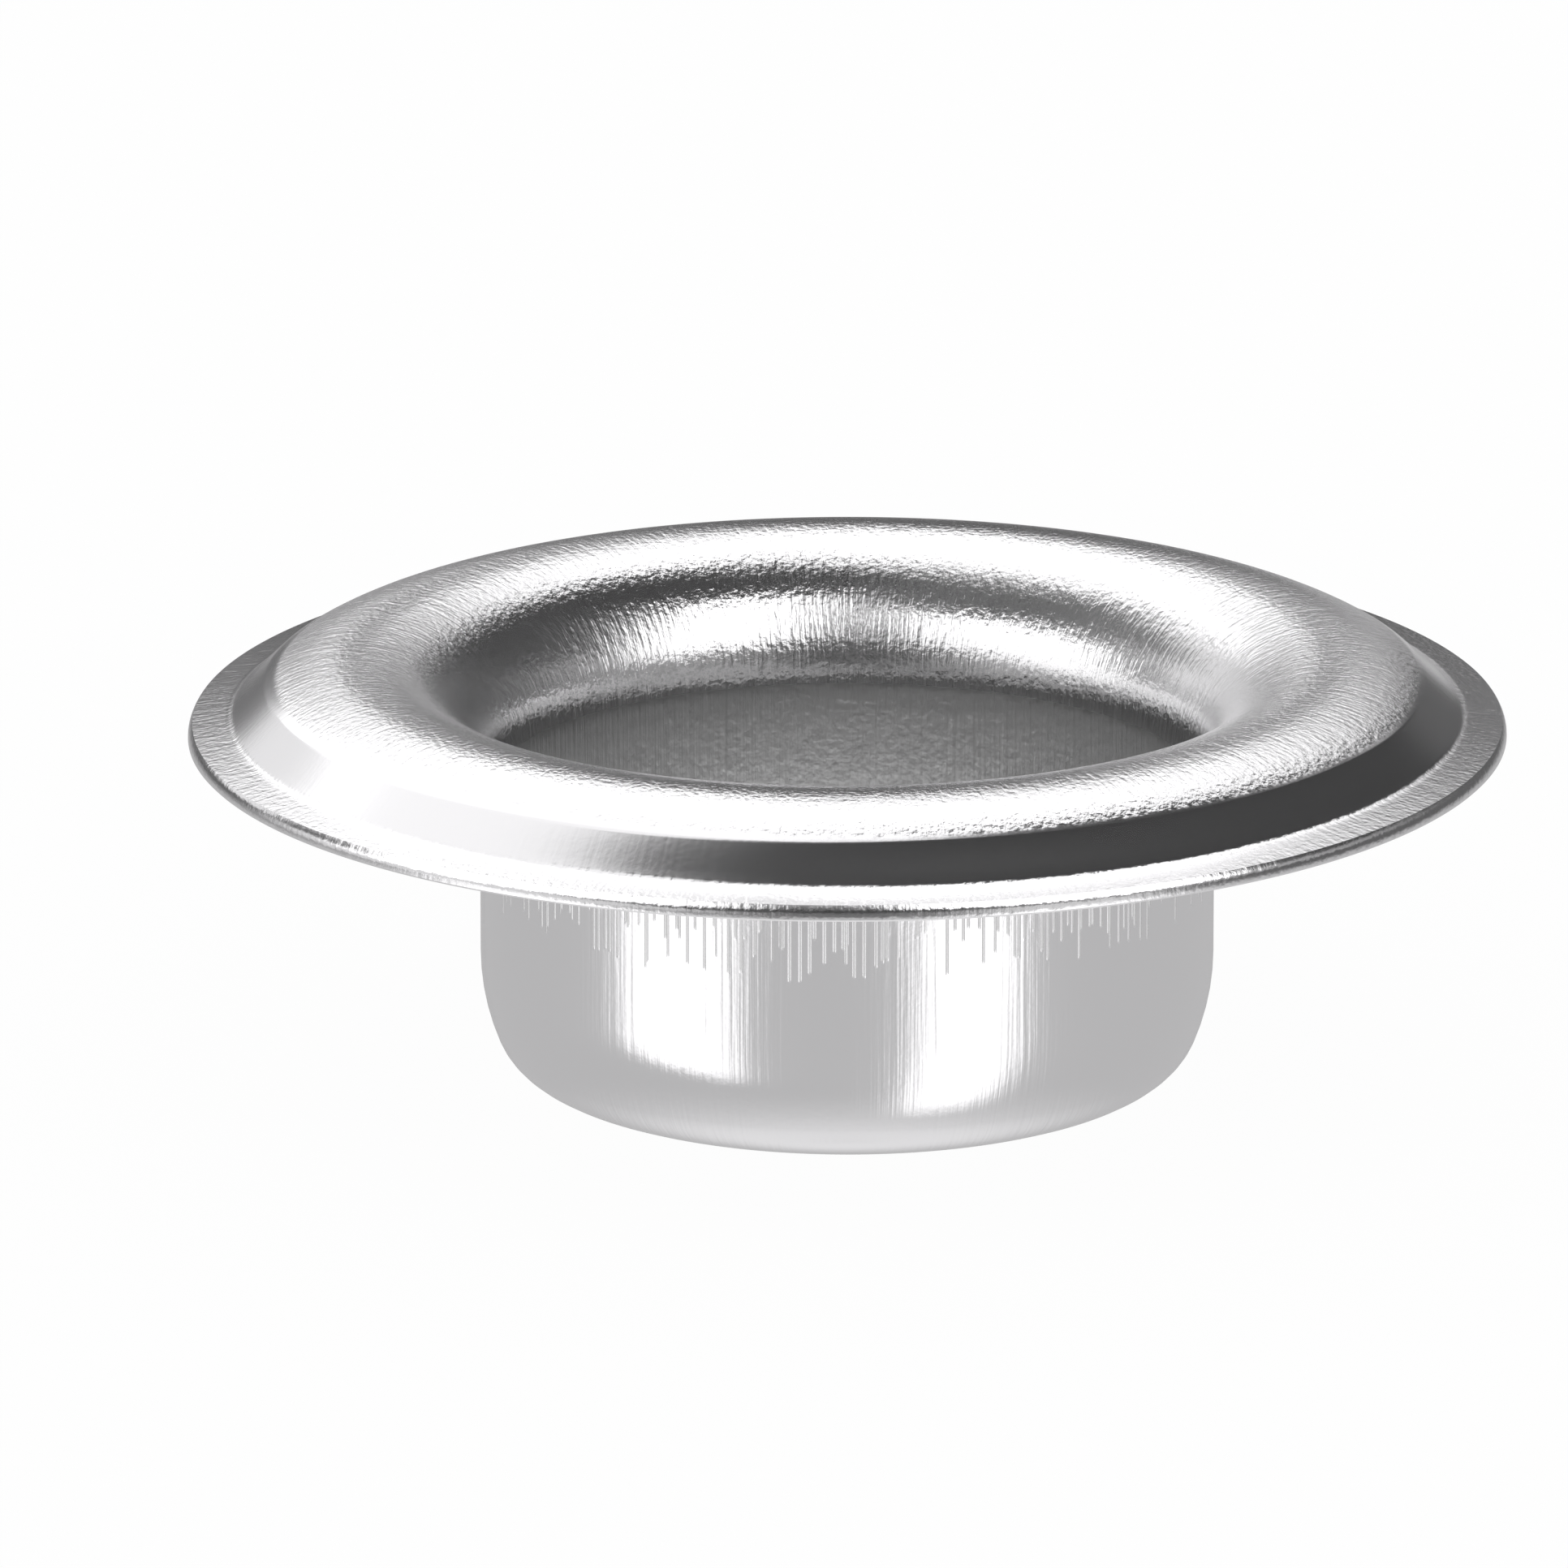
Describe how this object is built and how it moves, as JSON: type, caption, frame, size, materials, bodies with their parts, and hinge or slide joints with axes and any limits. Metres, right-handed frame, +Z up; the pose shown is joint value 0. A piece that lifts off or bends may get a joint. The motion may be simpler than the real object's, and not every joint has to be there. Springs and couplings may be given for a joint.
{
  "type": "grommet eyelet",
  "caption": "Round sheet-metal eyelet with a flat rim, a raised rounded bead, a funnel into a straight barrel and a curled-in pierced barrel end.",
  "frame": {"origin": "on the barrel's axis, in the plane that the curled-in barrel end stands on", "axes": "+Z up along the barrel's axis, from the barrel end towards the flange"},
  "size_m": [0.019, 0.019, 0.0062],
  "materials": {
    "metal": "bright satin, lightly grained by drawing and tumbling"
  },
  "bodies": {
    "root": {"eyelet": "metal"}
  },
  "joints": []
}
